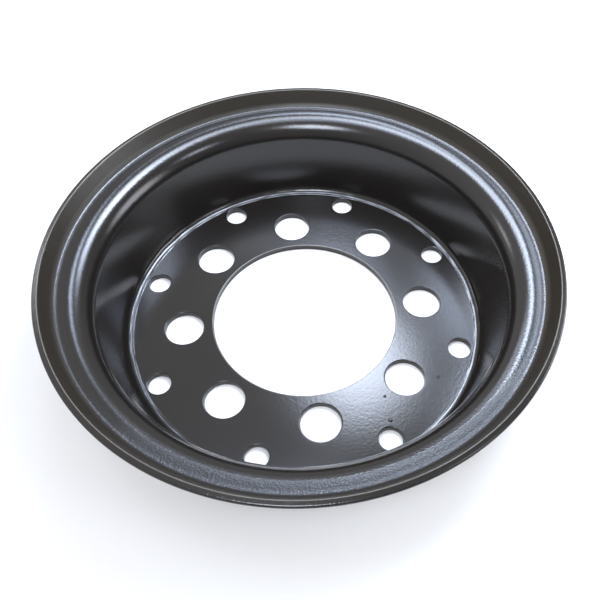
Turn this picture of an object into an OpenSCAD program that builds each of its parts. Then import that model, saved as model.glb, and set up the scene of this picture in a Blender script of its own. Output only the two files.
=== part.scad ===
// One half of a bolted split rim wheel, pressed from a single steel plate.
// It lies on its mating face, with the open side of the dish up (+Z).
// The origin is the centre of the mating face; all lengths are in millimetres.

/* [Plate] */
// Thickness of the steel plate, from the disc out to the end of the lip
plate_t = 6; // [4:0.5:8]
// Diameter over the outside of the lip
rim_d = 463.6; // [456:0.2:500]

/* [Disc] */
// Diameter of the centre hole, which passes over the axle hub
bore_d = 186; // [150:0.5:198]
// Number of wheel studs
stud_count = 8; // [4:1:10]
// Diameter of the circle that the wheel studs lie on
stud_pcd = 244; // [232:0.5:250]
// Diameter of each wheel stud hole
stud_hole_d = 38.5; // [16:0.5:42]
// Number of clamp bolts that hold the two halves together
clamp_count = 8; // [4:1:12]
// Diameter of the circle that the clamp bolts lie on
clamp_pcd = 318; // [310:0.5:320]
// Diameter of each clamp bolt hole
clamp_hole_d = 22.5; // [10:0.5:24]
// Radius that the punch leaves round the open-side mouth of each hole
mouth_r = 1; // [0.4:0.1:1.5]

/* [Wall] */
// Angle by which the wall leans outwards
wall_taper = 9; // [5:0.5:10]
// Inside radius of the corner between the disc and the wall
corner_r = 7.5; // [4:0.5:10]

/* [Flange] */
// Height from the mating face to the flat ring on the open side of the flange
face_h = 90.2; // [80:0.1:93]
// Open-side radius of the roll that turns the wall into the flange
roll_r = 24; // [18:0.5:25]
// Width of the flat ring between the roll and the curl
flat_w = 0.5; // [0.1:0.1:2]
// Open-side radius of the curl that turns the flange up into the lip
curl_r = 13; // [10:0.5:14]
// Slope at which the curl runs into its crisp crease
crease_in = 22; // [10:1:26]
// Slope at which the curl leaves that crease
crease_out = 40; // [30:1:45]
// Height of the lip's end above the flat ring
lip_h = 16.5; // [14.5:0.1:34]
// Angle by which the lip leans outwards
lip_lean = 24.6; // [20:0.1:28]
// Radius on the outer edge of the lip's end
lip_edge_r = 2; // [0.5:0.1:3]

/* [Hidden] */

$fn = 180;
plate_fn = 360;  // segments round the whole plate
overrun = 1;     // how far a cutter passes the face that it leaves
tuck = 0.002;    // how far a round is tucked under each face that it meets

rim_r = rim_d / 2;
rim_h = face_h + lip_h;
bore_r = bore_d / 2;

// The radii are worked out inwards from the rim. The round on the lip's end comes first.
edge_c = rim_r - lip_edge_r;
edge_z = rim_h - lip_edge_r;

// The curl on the open side is two arcs of one radius that meet in the crease
face_z = face_h + curl_r;
crease_z = face_z - curl_r * cos(crease_in);
curl_z = crease_z + curl_r * cos(crease_out);
lip_reach = curl_r + plate_t - lip_edge_r + (edge_z - curl_z) * sin(lip_lean);
curl_c = edge_c - lip_reach / cos(lip_lean);
crease_r = curl_c + curl_r * sin(crease_out);
face_c = crease_r - curl_r * sin(crease_in);

// The roll and the corner each have one centre for both sides of the plate
roll_c = face_c - flat_w;
roll_z = face_h - roll_r;
corner_z = plate_t + corner_r;
corner_c = wall_r(corner_z, 0) - corner_r / cos(wall_taper);

// Radius of the wall at a height, on the open side (off = 0) or the tyre side (off = plate_t)
function wall_r(z, off) = roll_c + (z - roll_z) * tan(wall_taper) + (off - roll_r) / cos(wall_taper);

// Radius of the lip at a height, on the open side (off = 0) or the tyre side (off = plate_t)
function lip_r(z, off) = edge_c + (off - plate_t + lip_edge_r) / cos(lip_lean) + (z - edge_z) * tan(lip_lean);

// The tyre side turns up in one arc, with no crease, from the same radius as the open side's curl
seat_face_h = face_h - plate_t;
back_curl_reach = (edge_c - face_c) * cos(lip_lean) - (edge_z - seat_face_h) * sin(lip_lean) + lip_edge_r;
back_curl_r = back_curl_reach / (1 - sin(lip_lean));
back_curl_z = seat_face_h + back_curl_r;

plate_color = "#2b2b2d";

// Point at a distance and an angle from a centre in the section plane
function polar(c, z, dist, a) = [c + dist * cos(a), z + dist * sin(a)];

// Space between a circle and the sharp corner of its tangents at the angles a0 and a1
module corner_gap(c, z, r, a0, a1) {
    reach = r + overrun;
    difference() {
        polygon([
            [c, z],
            polar(c, z, reach, a0),
            polar(c, z, reach / cos((a1 - a0) / 2), (a0 + a1) / 2),
            polar(c, z, reach, a1)
        ]);
        translate([c, z]) circle(r = r + tuck);
    }
}

// Inside of the dish up to one side of the plate: disc, corner, wall and roll
module dish(off, top) {
    floor_z = plate_t - off;
    brow_z = face_h - off;
    difference() {
        polygon([
            [0, floor_z],
            [wall_r(floor_z, off), floor_z],
            [wall_r(brow_z, off), brow_z],
            [wall_r(brow_z, off), top],
            [0, top]
        ]);
        corner_gap(corner_c, corner_z, corner_r + off, -90, -wall_taper);
    }
    corner_gap(roll_c, roll_z, roll_r - off, 90, 180 - wall_taper);
}

module tyre_side() {
    dish(plate_t, rim_h);
    difference() {
        polygon([
            [0, seat_face_h],
            [lip_r(seat_face_h, plate_t), seat_face_h],
            [lip_r(rim_h, plate_t), rim_h],
            [0, rim_h]
        ]);
        corner_gap(face_c, back_curl_z, back_curl_r, -90, -lip_lean);
    }
}

module open_side() {
    top = rim_h + overrun;
    curl_half = (90 - crease_out - lip_lean) / 2;
    dish(0, top);
    difference() {
        polygon([
            [0, face_h],
            polar(face_c, face_z, curl_r / cos(crease_in / 2), crease_in / 2 - 90),
            [crease_r, crease_z],
            polar(curl_c, curl_z, curl_r / cos(curl_half), -lip_lean - curl_half),
            [lip_r(top, 0), top],
            [0, top]
        ]);
        corner_gap(face_c, face_z, curl_r, -90, crease_in - 90);
        corner_gap(curl_c, curl_z, curl_r, crease_out - 90, -lip_lean);
    }
}

module plate_section() {
    difference() {
        tyre_side();
        open_side();
        square([bore_r, 2 * plate_t]);
        corner_gap(edge_c, edge_z, lip_edge_r, -lip_lean, 90);
    }
}

// Ring that rounds the open-side mouth of a hole of radius r
module mouth_cut(r) {
    rotate_extrude() corner_gap(r + mouth_r, plate_t - mouth_r, mouth_r, 90, 180);
}

module hole(r) {
    translate([0, 0, -overrun]) cylinder(r = r, h = plate_t + 2 * overrun);
    mouth_cut(r);
}

module hole_ring(count, pcd, d, turn) {
    for (i = [0 : count - 1])
        rotate(i * 360 / count + turn) translate([pcd / 2, 0, 0]) hole(d / 2);
}

module wheel_half() {
    color(plate_color) difference() {
        rotate_extrude($fn = plate_fn) plate_section();
        mouth_cut(bore_r);
        hole_ring(stud_count, stud_pcd, stud_hole_d, 0);
        hole_ring(clamp_count, clamp_pcd, clamp_hole_d, 180 / stud_count);
    }
}

wheel_half();
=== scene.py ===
from math import cos, pi, radians, sin, tan

import bmesh
import bpy
from mathutils import Matrix, Vector


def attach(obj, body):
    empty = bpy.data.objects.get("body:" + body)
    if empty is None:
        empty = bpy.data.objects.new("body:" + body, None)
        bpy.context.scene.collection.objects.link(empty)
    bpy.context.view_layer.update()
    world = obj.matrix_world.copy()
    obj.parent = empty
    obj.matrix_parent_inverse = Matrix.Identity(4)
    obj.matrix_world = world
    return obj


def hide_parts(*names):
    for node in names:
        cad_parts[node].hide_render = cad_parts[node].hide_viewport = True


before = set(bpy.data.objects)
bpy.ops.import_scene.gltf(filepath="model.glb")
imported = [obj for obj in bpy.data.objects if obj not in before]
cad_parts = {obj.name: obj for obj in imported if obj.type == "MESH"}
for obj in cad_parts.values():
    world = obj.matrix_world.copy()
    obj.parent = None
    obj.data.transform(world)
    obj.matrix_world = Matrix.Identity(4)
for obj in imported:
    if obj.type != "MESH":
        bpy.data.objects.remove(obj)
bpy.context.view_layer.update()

scene = bpy.context.scene
mm = 0.001
weld = 1e-6  # points closer than this, in metres, are one point


def linear(hexColour):  # sRGB hex to linear RGBA
    parts = [int(hexColour[i:i + 2], 16) / 255 for i in (1, 3, 5)]
    return [c / 12.92 if c <= 0.04045 else ((c + 0.055) / 1.055) ** 2.4 for c in parts] + [1]


def addNode(tree, kind, inputs=None, **settings):  # an input gets a value, or the output that feeds it
    node = tree.nodes.new(kind)
    for name, value in settings.items():
        setattr(node, name, value)
    for name, value in (inputs or {}).items():
        if isinstance(value, bpy.types.NodeSocket):
            tree.links.new(value, node.inputs[name])
        else:
            node.inputs[name].default_value = value
    return node


# the pressed plate: one steel plate, in millimetres and degrees
plate = {
    "thickness": 6, "rimDiameter": 463.6,
    "boreDiameter": 186, "mouthRadius": 1, "undersideBreak": 0.15,
    "studCount": 8, "studCircle": 244, "studHole": 38.5,
    "clampCount": 8, "clampCircle": 318, "clampHole": 22.5,
    "wallTaper": 9, "cornerRadius": 7.5,
    "faceHeight": 90.2, "rollRadius": 24, "flatWidth": 0.5,
    "curlRadius": 13, "creaseIn": 22, "creaseOut": 40, "creaseSoftness": 1.6,
    "lipLean": 24.6, "lipHeight": 16.5, "lipEndTilt": 11, "lipEdgeRadius": 2, "lipInnerEdge": 0.4,
    "support": 0.3,  # short spans that keep the shading of the flats flat
    "openSteps": {"corner": 10, "wall": 12, "roll": 24, "curl": 6, "crease": 5, "lip": 3, "innerEdge": 3,
                  "end": 2, "edge": 8},
    "tyreSteps": {"corner": 10, "wall": 6, "roll": 14, "curl": 8, "lip": 4},
    "liningSteps": {"mouth": 6, "lining": 3, "break": 2},
    "ringSteps": 512, "holeSteps": 96, "boreSteps": 256, "sectors": 16,
}


def penLine(bm, tip, r, z, steps=1):  # draws a line in the section plane and returns its end
    start, end = tip.co.copy(), Vector((r, 0, z)) * mm
    length = (end - start).length
    shares = [k / steps for k in range(1, steps + 1)]
    if steps > 1:
        edge = plate["support"] * mm / length
        shares = [edge] + [edge + (1 - 2 * edge) * s for s in shares[:-1]] + [1 - edge, 1]
    for share in shares:
        tip = bmesh.ops.extrude_vert_indiv(bm, verts=[tip])["verts"][0]
        tip.co = start.lerp(end, share)
    return tip


def penArc(bm, tip, r, z, turn, steps):  # turn is anticlockwise with r to the right and z up
    made = bmesh.ops.spin(bm, geom=[tip], cent=Vector((r, 0, z)) * mm, axis=(0, -1, 0),
                          angle=radians(turn), steps=steps, use_merge=False)
    return [g for g in made["geom_last"] if isinstance(g, bmesh.types.BMVert)][0]


def softenCorner(bm, vert, size, segments):
    bmesh.ops.bevel(bm, geom=[vert], offset=size * mm, offset_type="OFFSET", segments=segments,
                    profile=0.5, affect="VERTICES", material=-1)


def drawSection(bm, p):  # the plate's section from the disc's top, round the lip, to its underside
    t, taper = p["thickness"], p["wallTaper"]
    lean = radians(taper)

    # the radii are worked out inwards from the rim, as in the part's source
    rimR, rimH, lipLean = p["rimDiameter"] / 2, p["faceHeight"] + p["lipHeight"], radians(p["lipLean"])
    edgeR, edgeZ = rimR - p["lipEdgeRadius"], rimH - p["lipEdgeRadius"]
    creaseIn, creaseOut = radians(p["creaseIn"]), radians(p["creaseOut"])
    faceZ = p["faceHeight"] + p["curlRadius"]
    curlZ = faceZ - p["curlRadius"] * (cos(creaseIn) - cos(creaseOut))
    reach = p["curlRadius"] + t - p["lipEdgeRadius"] + (edgeZ - curlZ) * sin(lipLean)
    curlR = edgeR - reach / cos(lipLean)
    faceR = curlR + p["curlRadius"] * (sin(creaseOut) - sin(creaseIn))
    rollR, rollZ = faceR - p["flatWidth"], p["faceHeight"] - p["rollRadius"]
    cornerZ = t + p["cornerRadius"]
    cornerR = rollR + (cornerZ - rollZ) * tan(lean) - (p["rollRadius"] + p["cornerRadius"]) / cos(lean)
    seatZ = p["faceHeight"] - t
    backReach = (edgeR - faceR) * cos(lipLean) - (edgeZ - seatZ) * sin(lipLean) + p["lipEdgeRadius"]
    backR = backReach / (1 - sin(lipLean))

    # the lip's end falls outwards from its inner edge, so the round on its outer edge slides down the lip
    footR, footZ = curlR + p["curlRadius"] * cos(lipLean), curlZ - p["curlRadius"] * sin(lipLean)
    innerR, tilt = footR + (rimH - footZ) * tan(lipLean), radians(p["lipEndTilt"])
    drop = sin(tilt) * (edgeR - innerR) + (1 - cos(tilt)) * p["lipEdgeRadius"]
    slide = drop / cos(lipLean - tilt)
    endR, endZ = edgeR - slide * sin(lipLean), edgeZ - slide * cos(lipLean)

    def polar(r, z, dist, a):
        return r + dist * cos(a), z + dist * sin(a)

    openSide, tyreSide = p["openSteps"], p["tyreSteps"]
    tip = bm.verts.new(Vector((cornerR - p["support"], 0, t)) * mm)
    tip = penLine(bm, tip, cornerR, t)
    tip = penArc(bm, tip, cornerR, cornerZ, 90 - taper, openSide["corner"])
    tip = penLine(bm, tip, *polar(rollR, rollZ, p["rollRadius"], pi - lean), openSide["wall"])
    tip = penArc(bm, tip, rollR, rollZ, taper - 90, openSide["roll"])
    tip = penLine(bm, tip, faceR, p["faceHeight"])
    crease = tip = penArc(bm, tip, faceR, faceZ, p["creaseIn"], openSide["curl"])
    tip = penArc(bm, tip, curlR, curlZ, 90 - p["creaseOut"] - p["lipLean"], openSide["curl"])
    inner = tip = penLine(bm, tip, innerR, rimH, openSide["lip"])
    tip = penLine(bm, tip, *polar(endR, endZ, p["lipEdgeRadius"], pi / 2 - tilt), openSide["end"])
    tip = penArc(bm, tip, endR, endZ, p["lipEndTilt"] - 90 - p["lipLean"], openSide["edge"])
    tip = penLine(bm, tip, *polar(faceR, seatZ + backR, backR, -lipLean), tyreSide["lip"])
    tip = penArc(bm, tip, faceR, seatZ + backR, p["lipLean"] - 90, tyreSide["curl"])
    tip = penLine(bm, tip, rollR, seatZ)
    tip = penArc(bm, tip, rollR, rollZ, 90 - taper, tyreSide["roll"])
    tip = penLine(bm, tip, *polar(cornerR, cornerZ, p["cornerRadius"] + t, -lean), tyreSide["wall"])
    tip = penArc(bm, tip, cornerR, cornerZ, taper - 90, tyreSide["corner"])
    penLine(bm, tip, cornerR - p["support"], 0)
    softenCorner(bm, inner, p["lipInnerEdge"], openSide["innerEdge"])
    softenCorner(bm, crease, p["creaseSoftness"], openSide["crease"])


def drawLining(bm, radius, p):  # section of a punched hole, rounded at its top mouth
    t, mouth, steps = p["thickness"], p["mouthRadius"], p["liningSteps"]
    support, burr = p["support"], p["undersideBreak"]
    tip = bm.verts.new(Vector((radius + mouth + support, 0, t)) * mm)
    tip = penLine(bm, tip, radius + mouth, t)
    tip = penArc(bm, tip, radius + mouth, t - mouth, 90, steps["mouth"])
    tip = penLine(bm, tip, radius, burr, steps["lining"])
    tip = penArc(bm, tip, radius + burr, burr, 90, steps["break"])
    penLine(bm, tip, radius + burr + support, 0)


def spinAround(bm, steps, angle, geom, copies=False):
    bmesh.ops.spin(bm, geom=geom, cent=(0, 0, 0), axis=(0, 0, 1), angle=angle, steps=steps,
                   use_merge=False, use_duplicate=copies)


def copyRound(bm, count):  # stands copies of all there is evenly round the wheel's axis
    everything = bm.verts[:] + bm.edges[:] + bm.faces[:]
    spinAround(bm, count - 1, 2 * pi * (count - 1) / count, everything, copies=True)


def addRing(bm, draw, steps, shift=0, turn=0, count=1):
    ring = bmesh.new()
    draw(ring)
    sectors = plate["sectors"]  # one sector is spun finely and then copied round, which is quicker
    spinAround(ring, steps // sectors, 2 * pi / sectors, ring.verts[:] + ring.edges[:])
    copyRound(ring, sectors)
    bmesh.ops.remove_doubles(ring, verts=ring.verts[:], dist=weld)
    bmesh.ops.translate(ring, verts=ring.verts[:], vec=(shift * mm, 0, 0))
    bmesh.ops.rotate(ring, verts=ring.verts[:], cent=(0, 0, 0),
                     matrix=Matrix.Rotation(radians(turn), 3, "Z"))
    if count > 1:
        copyRound(ring, count)
    part = bpy.data.meshes.new("ring")
    ring.to_mesh(part)
    ring.free()
    bm.from_mesh(part)
    bpy.data.meshes.remove(part)


def closeDisc(bm, z, up):  # fills the flat of the disc between the corner and the holes
    rim = [e for e in bm.edges if e.is_boundary and all(abs(v.co.z - z) < weld for v in e.verts)]
    made = bmesh.ops.triangle_fill(bm, edges=rim, use_beauty=True, use_dissolve=False, normal=(0, 0, up))
    for item in made["geom"]:
        if isinstance(item, bmesh.types.BMFace):
            item.smooth = False


def makePiece(bm, name):
    mesh = bpy.data.meshes.new(name)
    bm.to_mesh(mesh)
    bm.free()
    piece = bpy.data.objects.new(name, mesh)
    scene.collection.objects.link(piece)
    return piece


def pressPlate(p):
    bm = bmesh.new()
    addRing(bm, lambda ring: drawSection(ring, p), p["ringSteps"])
    addRing(bm, lambda ring: drawLining(ring, p["boreDiameter"] / 2, p), p["boreSteps"])
    addRing(bm, lambda ring: drawLining(ring, p["studHole"] / 2, p), p["holeSteps"],
            p["studCircle"] / 2, 0, p["studCount"])
    addRing(bm, lambda ring: drawLining(ring, p["clampHole"] / 2, p), p["holeSteps"],
            p["clampCircle"] / 2, 180 / p["studCount"], p["clampCount"])
    for face in bm.faces:
        face.smooth = True
    closeDisc(bm, p["thickness"] * mm, 1)
    closeDisc(bm, 0, -1)
    bmesh.ops.remove_doubles(bm, verts=bm.verts[:], dist=weld)
    bmesh.ops.recalc_face_normals(bm, faces=bm.faces[:])
    return makePiece(bm, "pressed_plate")


pressedPlate = pressPlate(plate)
print("plate pressed")

# black stoving enamel: sprayed thin over pressed steel and baked, so it is glossy,
# slightly rippled and a little dusty
# four radii say where a thing starts, is full, is still full and has ended; two values say start and full
enamel = {
    "black": "#131212", "warm": "#1b1713", "cloud": 60,  # the black is warmer in wide clouds
    "roughness": 0.17, "ior": 1.5, "orangePeel": 2.4, "peelDepth": 0.07,
    "wallRoughness": 0.2, "wallRadii": (176, 180, 190, 194), "wallHeights": (12, 20),
    "film": "#211c14", "filmRoughness": 0.4, "filmRadii": (216.9, 218.6, 225.5, 226.5),  # dry spray
    "dust": "#1d1e21", "dustRoughness": 0.4, "dustRadii": (204, 208, 216.5, 220.5), "dustY": (-90, -185),
    "dustGrain": 1.6, "grainDepth": 0.35,  # real dust is far finer, and is drawn this coarse to show
    "faceRoughness": 0.22, "faceRadii": (209, 211, 216.5, 218.5),
    "drawLength": 6, "drawWidth": 1.4, "drawDepth": 0.2, "drawRadii": (209, 214),  # marks of the press tool
    "cornerLump": 16, "cornerDepth": 0.7, "cornerRadii": (171.5, 173, 182, 183.5), "cornerHeights": (17, 8),
    "paintedEdgeHighlight": "#59554d",  # painted highlight: a pale line along two edges, the bore's mouth and the lip's inner edge, where they catch the light
    "boreEdgeRadii": (92.95, 93.25, 93.95, 94.25), "boreEdgeHeights": (4, 5.5),
    "lipEdgeRadii": (225.85, 226.15, 226.85, 227.15), "lipEdgeHeights": (104, 105.5),
}


def makeEnamel(e):
    material = bpy.data.materials.new("black_stoving_enamel")
    material.use_nodes = True
    tree = material.node_tree
    tree.nodes.clear()

    place = addNode(tree, "ShaderNodeTexCoord").outputs["Object"]
    axes = addNode(tree, "ShaderNodeSeparateXYZ", {"Vector": place})
    pressed = {0: place, 1: (1, 1, 0)}
    flat = addNode(tree, "ShaderNodeVectorMath", pressed, operation="MULTIPLY").outputs["Vector"]
    radius = addNode(tree, "ShaderNodeVectorMath", {0: flat}, operation="LENGTH").outputs["Value"]
    height, farness = axes.outputs["Z"], axes.outputs["Y"]

    def mask(*fades, radii=()):  # product of smooth steps, each 0 at its start and 1 where it is full
        if radii:
            fades += ((radius, *radii[:2]), (radius, radii[3], radii[2]))
        product = 1
        for coordinate, start, full in fades:
            span = {"Value": coordinate, "From Min": start * mm, "From Max": full * mm}
            fade = addNode(tree, "ShaderNodeMapRange", span, interpolation_type="SMOOTHSTEP")
            pair = {0: product, 1: fade.outputs["Result"]}
            product = addNode(tree, "ShaderNodeMath", pair, operation="MULTIPLY").outputs["Value"]
        return product

    film = mask(radii=e["filmRadii"])
    dust = mask((farness, *e["dustY"]), radii=e["dustRadii"])
    wall = mask((height, *e["wallHeights"]), radii=e["wallRadii"])
    face = mask(radii=e["faceRadii"])
    corner = mask((height, *e["cornerHeights"]), radii=e["cornerRadii"])
    # thin rings on the bore's mouth and the lip's inner edge, which carry a painted highlight
    boreHighlight = mask((height, *e["boreEdgeHeights"]), radii=e["boreEdgeRadii"])
    lipHighlight = mask((height, *e["lipEdgeHeights"]), radii=e["lipEdgeRadii"])

    fields = {}
    for name, detail in (("cloud", 3), ("orangePeel", 2), ("dustGrain", 1), ("cornerLump", 0)):
        grid = {"Vector": place, "Scale": 1 / (e[name] * mm), "Detail": detail}
        fields[name] = addNode(tree, "ShaderNodeTexNoise", grid).outputs["Fac"]

    # marks of the press tool run radially: their length is along the radius and their width round the ring
    around = addNode(tree, "ShaderNodeVectorMath", {0: flat}, operation="NORMALIZE").outputs["Vector"]
    turns = {0: around, "Scale": e["drawRadii"][1] / e["drawWidth"]}
    width = addNode(tree, "ShaderNodeVectorMath", turns, operation="SCALE").outputs["Vector"]
    outwards = addNode(tree, "ShaderNodeMath", {0: radius, 1: e["drawLength"] * mm}, operation="DIVIDE")
    length = addNode(tree, "ShaderNodeCombineXYZ", {"Z": outwards.outputs["Value"]}).outputs["Vector"]
    spot = addNode(tree, "ShaderNodeVectorMath", {0: width, 1: length}, operation="ADD").outputs["Vector"]
    marks = addNode(tree, "ShaderNodeTexNoise", {"Vector": spot, "Scale": 1, "Detail": 2}).outputs["Fac"]

    tone = linear(e["black"])
    # the last two layers paint a pale highlight line onto the bore's mouth and the lip's inner edge
    for share, coat in ((fields["cloud"], "warm"), (film, "film"), (dust, "dust"),
                        (boreHighlight, "paintedEdgeHighlight"), (lipHighlight, "paintedEdgeHighlight")):
        layers = {0: share, 6: tone, 7: linear(e[coat])}
        tone = addNode(tree, "ShaderNodeMix", layers, data_type="RGBA").outputs[2]

    relief = 0
    for pattern, where, size in ((fields["orangePeel"], 1, "peelDepth"),
                                 (marks, mask((radius, *e["drawRadii"])), "drawDepth"),
                                 (fields["cornerLump"], corner, "cornerDepth"),
                                 (fields["dustGrain"], dust, "grainDepth")):
        there = addNode(tree, "ShaderNodeMath", {0: pattern, 1: where}, operation="MULTIPLY").outputs["Value"]
        added = {0: there, 1: e[size] * mm, 2: relief}
        relief = addNode(tree, "ShaderNodeMath", added, operation="MULTIPLY_ADD").outputs["Value"]
    bump = addNode(tree, "ShaderNodeBump", {"Height": relief, "Strength": 1, "Distance": 1})

    gloss = 0
    for where, least, most in ((wall, e["roughness"], e["wallRoughness"]), (film, 0, e["filmRoughness"]),
                               (face, 0, e["faceRoughness"]), (dust, 0, e["dustRoughness"])):
        span = {"Value": where, "To Min": least, "To Max": most}
        rough = addNode(tree, "ShaderNodeMapRange", span, interpolation_type="SMOOTHSTEP").outputs["Result"]
        gloss = addNode(tree, "ShaderNodeMath", {0: gloss, 1: rough}, operation="MAXIMUM").outputs["Value"]

    finish = {"Base Color": tone, "Roughness": gloss, "IOR": e["ior"], "Normal": bump.outputs["Normal"]}
    paint = addNode(tree, "ShaderNodeBsdfPrincipled", finish)
    addNode(tree, "ShaderNodeOutputMaterial", {"Surface": paint.outputs["BSDF"]})
    return material


# paint nibs: specks that the paint ran up over, as low domes on the disc and on the lip's inner face
nibs = {
    "flatness": 0.55, "segments": 24, "rings": 12,
    "places": [  # radius, height, angle, dome radius and lean towards the centre
        (145.2, 6, 130.6, 1.2, 0), (124.2, 6, 65.7, 1.2, 0), (95.8, 6, 56.8, 1.0, 0),
        (148.2, 6, 322.8, 1.6, 0), (121.5, 6, 301.4, 1.5, 0), (143.8, 6, 296.3, 2.0, 0),
        (122.0, 6, 257.6, 1.6, 0), (128.2, 6, 250.6, 1.1, 0),
        (225.6, 105.2, 86.5, 1.0, 65.4), (225.4, 104.8, 154.6, 1.2, 65.4), (224.6, 103, 155.6, 1.0, 65.4),
        (225.6, 105.2, 172.4, 1.0, 65.4), (223.9, 101.4, 12, 1.0, 65.4), (214.5, 90.3, 22, 1.1, 0),
    ],
}


def dropNibs(n):
    bm = bmesh.new()
    for radius, height, angle, size, lean in n["places"]:
        dome = bmesh.ops.create_uvsphere(bm, u_segments=n["segments"], v_segments=n["rings"],
                                         radius=size * mm)["verts"]
        bmesh.ops.scale(bm, verts=dome, vec=(1, 1, n["flatness"]))
        bmesh.ops.rotate(bm, verts=dome, cent=(0, 0, 0), matrix=Matrix.Rotation(radians(-lean), 3, "Y"))
        bmesh.ops.translate(bm, verts=dome, vec=Vector((radius, 0, height)) * mm)
        bmesh.ops.rotate(bm, verts=dome, cent=(0, 0, 0), matrix=Matrix.Rotation(radians(angle), 3, "Z"))
    for face in bm.faces:
        face.smooth = True
    return makePiece(bm, "paint_nibs")


paintNibs = dropNibs(nibs)
stovingEnamel = makeEnamel(enamel)
pressedPlate.data.materials.append(stovingEnamel)
paintNibs.data.materials.append(stovingEnamel)
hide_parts("wheel_half")
for piece in (pressedPlate, paintNibs):
    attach(piece, "root")
print("enamel sprayed")

# pale studio: a floor, a world that is brighter on the left, and round soft lights that the paint mirrors
studio = {
    "floor": "#dedcd8", "floorSize": 5, "floorRoughness": 0.9, "floorShine": 0.1,
    "world": "#d2d1d2", "worldLevel": -0.1, "worldSlope": (-0.5, 0.3, 0.35),
}
# azimuth (0 is +Y, clockwise from above), elevation, distance and radius in metres, edge softness, radiance
lamps = {
    "core": (25.6, 63.4, 0.62, 0.098, 0.30, 23, "#dfebff"),
    "window": (41.0, 46.6, 1.59, 0.210, 0.22, 8.5, "#d4e4ff"),
    "far": (9.6, 53.0, 2.06, 0.180, 0.22, 14, "#d4e4ff"),
    "far_low": (-4.0, 38.0, 2.00, 0.160, 0.40, 6, "#dfeaff"),
    "near": (-162.8, 60.2, 1.25, 0.190, 0.26, 18, "#e8f0ff"),
    "near_right": (127.0, 43.8, 1.17, 0.120, 0.33, 8, "#e8f0ff"),
    "right": (59.5, 58.0, 1.60, 0.190, 0.17, 17, "#d9e7ff"),
    "low_right": (89.9, 22.0, 0.75, 0.200, 0.21, 6, "#f2f6ff"),
    "low_left": (-50.0, 27.5, 1.80, 0.170, 0.25, 5, "#f2f6ff"),
    "ceiling": (-45.4, 77.8, 4.45, 0.720, 0.10, 3.6, "#d6e4ff"),
    "ceiling_mid": (12.5, 84.7, 1.01, 0.110, 0.10, 3.5, "#d6e4ff"),
}


def softenLight(light, softness):  # fades the light from its centre to its edge
    light.use_nodes = True
    tree = light.node_tree
    tree.nodes.clear()
    middle = rim = 0.5  # the light's own coordinates run from 0 to 1
    spot = addNode(tree, "ShaderNodeNewGeometry").outputs["Parametric"]
    reach = addNode(tree, "ShaderNodeVectorMath", {0: spot, 1: (middle, middle, 0)}, operation="DISTANCE")
    bright = rim * (1 - 2 * softness) / (1 + 2 * softness)
    span = {"Value": reach.outputs["Value"], "From Min": rim, "From Max": bright}
    fade = addNode(tree, "ShaderNodeMapRange", span, interpolation_type="SMOOTHSTEP")
    glow = addNode(tree, "ShaderNodeEmission", {"Strength": fade.outputs["Result"]})
    addNode(tree, "ShaderNodeOutputLight", {"Surface": glow.outputs["Emission"]})


def hangLamp(name, azimuth, elevation, distance, radius, softness, radiance, colour):
    a, e = radians(azimuth), radians(elevation)
    out = Vector((sin(a) * cos(e), cos(a) * cos(e), sin(e)))
    light = bpy.data.lights.new(name, "AREA")
    light.shape = "DISK"
    light.size = 2 * radius * (1 + 2 * softness)
    light.energy = radiance * pi * light.size ** 2  # four times the disc's area, which gives this radiance
    light.color = linear(colour)[:3]
    softenLight(light, softness)
    lamp = bpy.data.objects.new(name, light)
    lamp.matrix_world = Matrix.Translation(out * distance) @ out.to_track_quat("Z", "Y").to_matrix().to_4x4()
    lamp.visible_camera = False
    scene.collection.objects.link(lamp)


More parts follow.
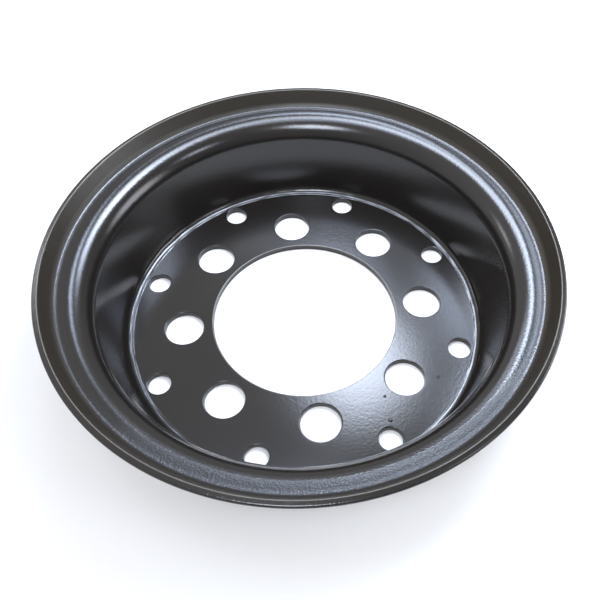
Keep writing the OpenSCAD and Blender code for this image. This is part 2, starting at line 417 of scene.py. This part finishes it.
def layFloor(s):
    bpy.ops.mesh.primitive_grid_add(x_subdivisions=2, y_subdivisions=2, size=s["floorSize"],
                                    location=(0, 0, 0))
    floor = bpy.context.object
    floor.name = "studio_floor"
    material = bpy.data.materials.new("pale_floor")
    material.use_nodes = True
    paint = material.node_tree.nodes["Principled BSDF"]
    paint.inputs["Base Color"].default_value = linear(s["floor"])
    paint.inputs["Roughness"].default_value = s["floorRoughness"]
    paint.inputs["Specular IOR Level"].default_value = s["floorShine"]
    floor.data.materials.append(material)


def lightWorld(s):  # its strength grows smoothly in the direction of the slope
    scene.world = bpy.data.worlds.new("studio")
    scene.world.use_nodes = True
    tree = scene.world.node_tree
    aim = addNode(tree, "ShaderNodeTexCoord").outputs["Generated"]
    side = addNode(tree, "ShaderNodeVectorMath", {0: aim, 1: s["worldSlope"]}, operation="DOT_PRODUCT")
    level = addNode(tree, "ShaderNodeMath", {0: side.outputs["Value"], 1: s["worldLevel"]}, operation="ADD")
    strength = addNode(tree, "ShaderNodeMath", {0: level.outputs["Value"]}, operation="EXPONENT")
    sky = tree.nodes["Background"]
    sky.inputs["Color"].default_value = linear(s["world"])
    tree.links.new(strength.outputs["Value"], sky.inputs["Strength"])


layFloor(studio)
lightWorld(studio)
for name, values in lamps.items():
    hangLamp(name, *values)
print("studio built")

# camera at the photo's place: pinhole values fitted to the wheel's own circles
view = {"place": (28.1, -359.6, 518.0), "turn": -9, "elevation": 57.677, "roll": 0.961,
        "lens": 36.652, "sensor": 36, "shiftX": -0.05318, "shiftY": 0.07392, "clip": (0.01, 100)}


def placeCamera(v):
    e, roll = radians(v["elevation"]), radians(v["roll"])
    forward = Vector((0, cos(e), -sin(e)))
    side, up = Vector((1, 0, 0)), Vector((0, sin(e), cos(e)))
    right = side * cos(roll) + up * sin(roll)
    top = up * cos(roll) - side * sin(roll)
    axes = Matrix((right, top, -forward)).transposed().to_4x4()
    turn = Matrix.Rotation(radians(v["turn"]), 4, "Z")
    data = bpy.data.cameras.new("camera")
    data.lens, data.sensor_width = v["lens"], v["sensor"]
    data.shift_x, data.shift_y = v["shiftX"], v["shiftY"]
    data.clip_start, data.clip_end = v["clip"]
    camera = bpy.data.objects.new("camera", data)
    camera.matrix_world = turn @ Matrix.Translation(Vector(v["place"]) * mm) @ axes
    scene.collection.objects.link(camera)
    scene.camera = camera


placeCamera(view)
scene.view_settings.view_transform = "Standard"
scene.view_settings.look = "None"
print("camera placed")
